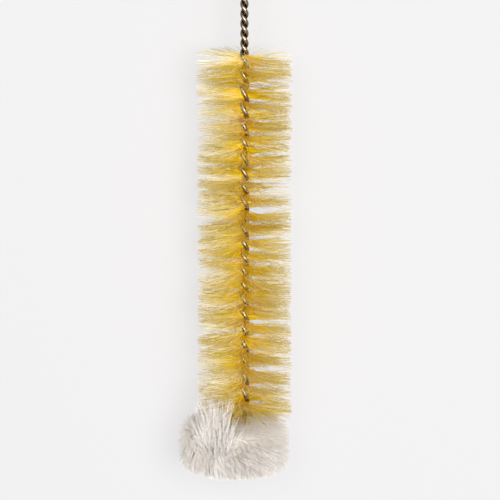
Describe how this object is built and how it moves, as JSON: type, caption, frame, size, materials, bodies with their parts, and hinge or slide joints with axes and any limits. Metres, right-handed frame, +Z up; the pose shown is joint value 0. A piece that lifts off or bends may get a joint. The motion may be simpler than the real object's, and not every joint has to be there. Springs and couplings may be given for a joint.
{
  "type": "bottle brush",
  "caption": "Laboratory bottle brush: twisted steel wire stem with a hanging eye, a cylindrical head of yellow bristle and a soft white tuft over the tip.",
  "frame": {"origin": "centre of the brush's bounding box, on the surface that it lies on", "axes": "+Z up from that surface, +Y along the stem from the tip to the hanging eye, +X to the right"},
  "size_m": [0.0474, 0.353, 0.0426],
  "materials": {
    "steel_wire": "satin",
    "yellow_bristle": "matte",
    "white_tuft": "matte"
  },
  "bodies": {
    "root": {"stem_wire": "steel_wire", "bristles": "yellow_bristle", "tip_tuft": "white_tuft"}
  },
  "joints": []
}
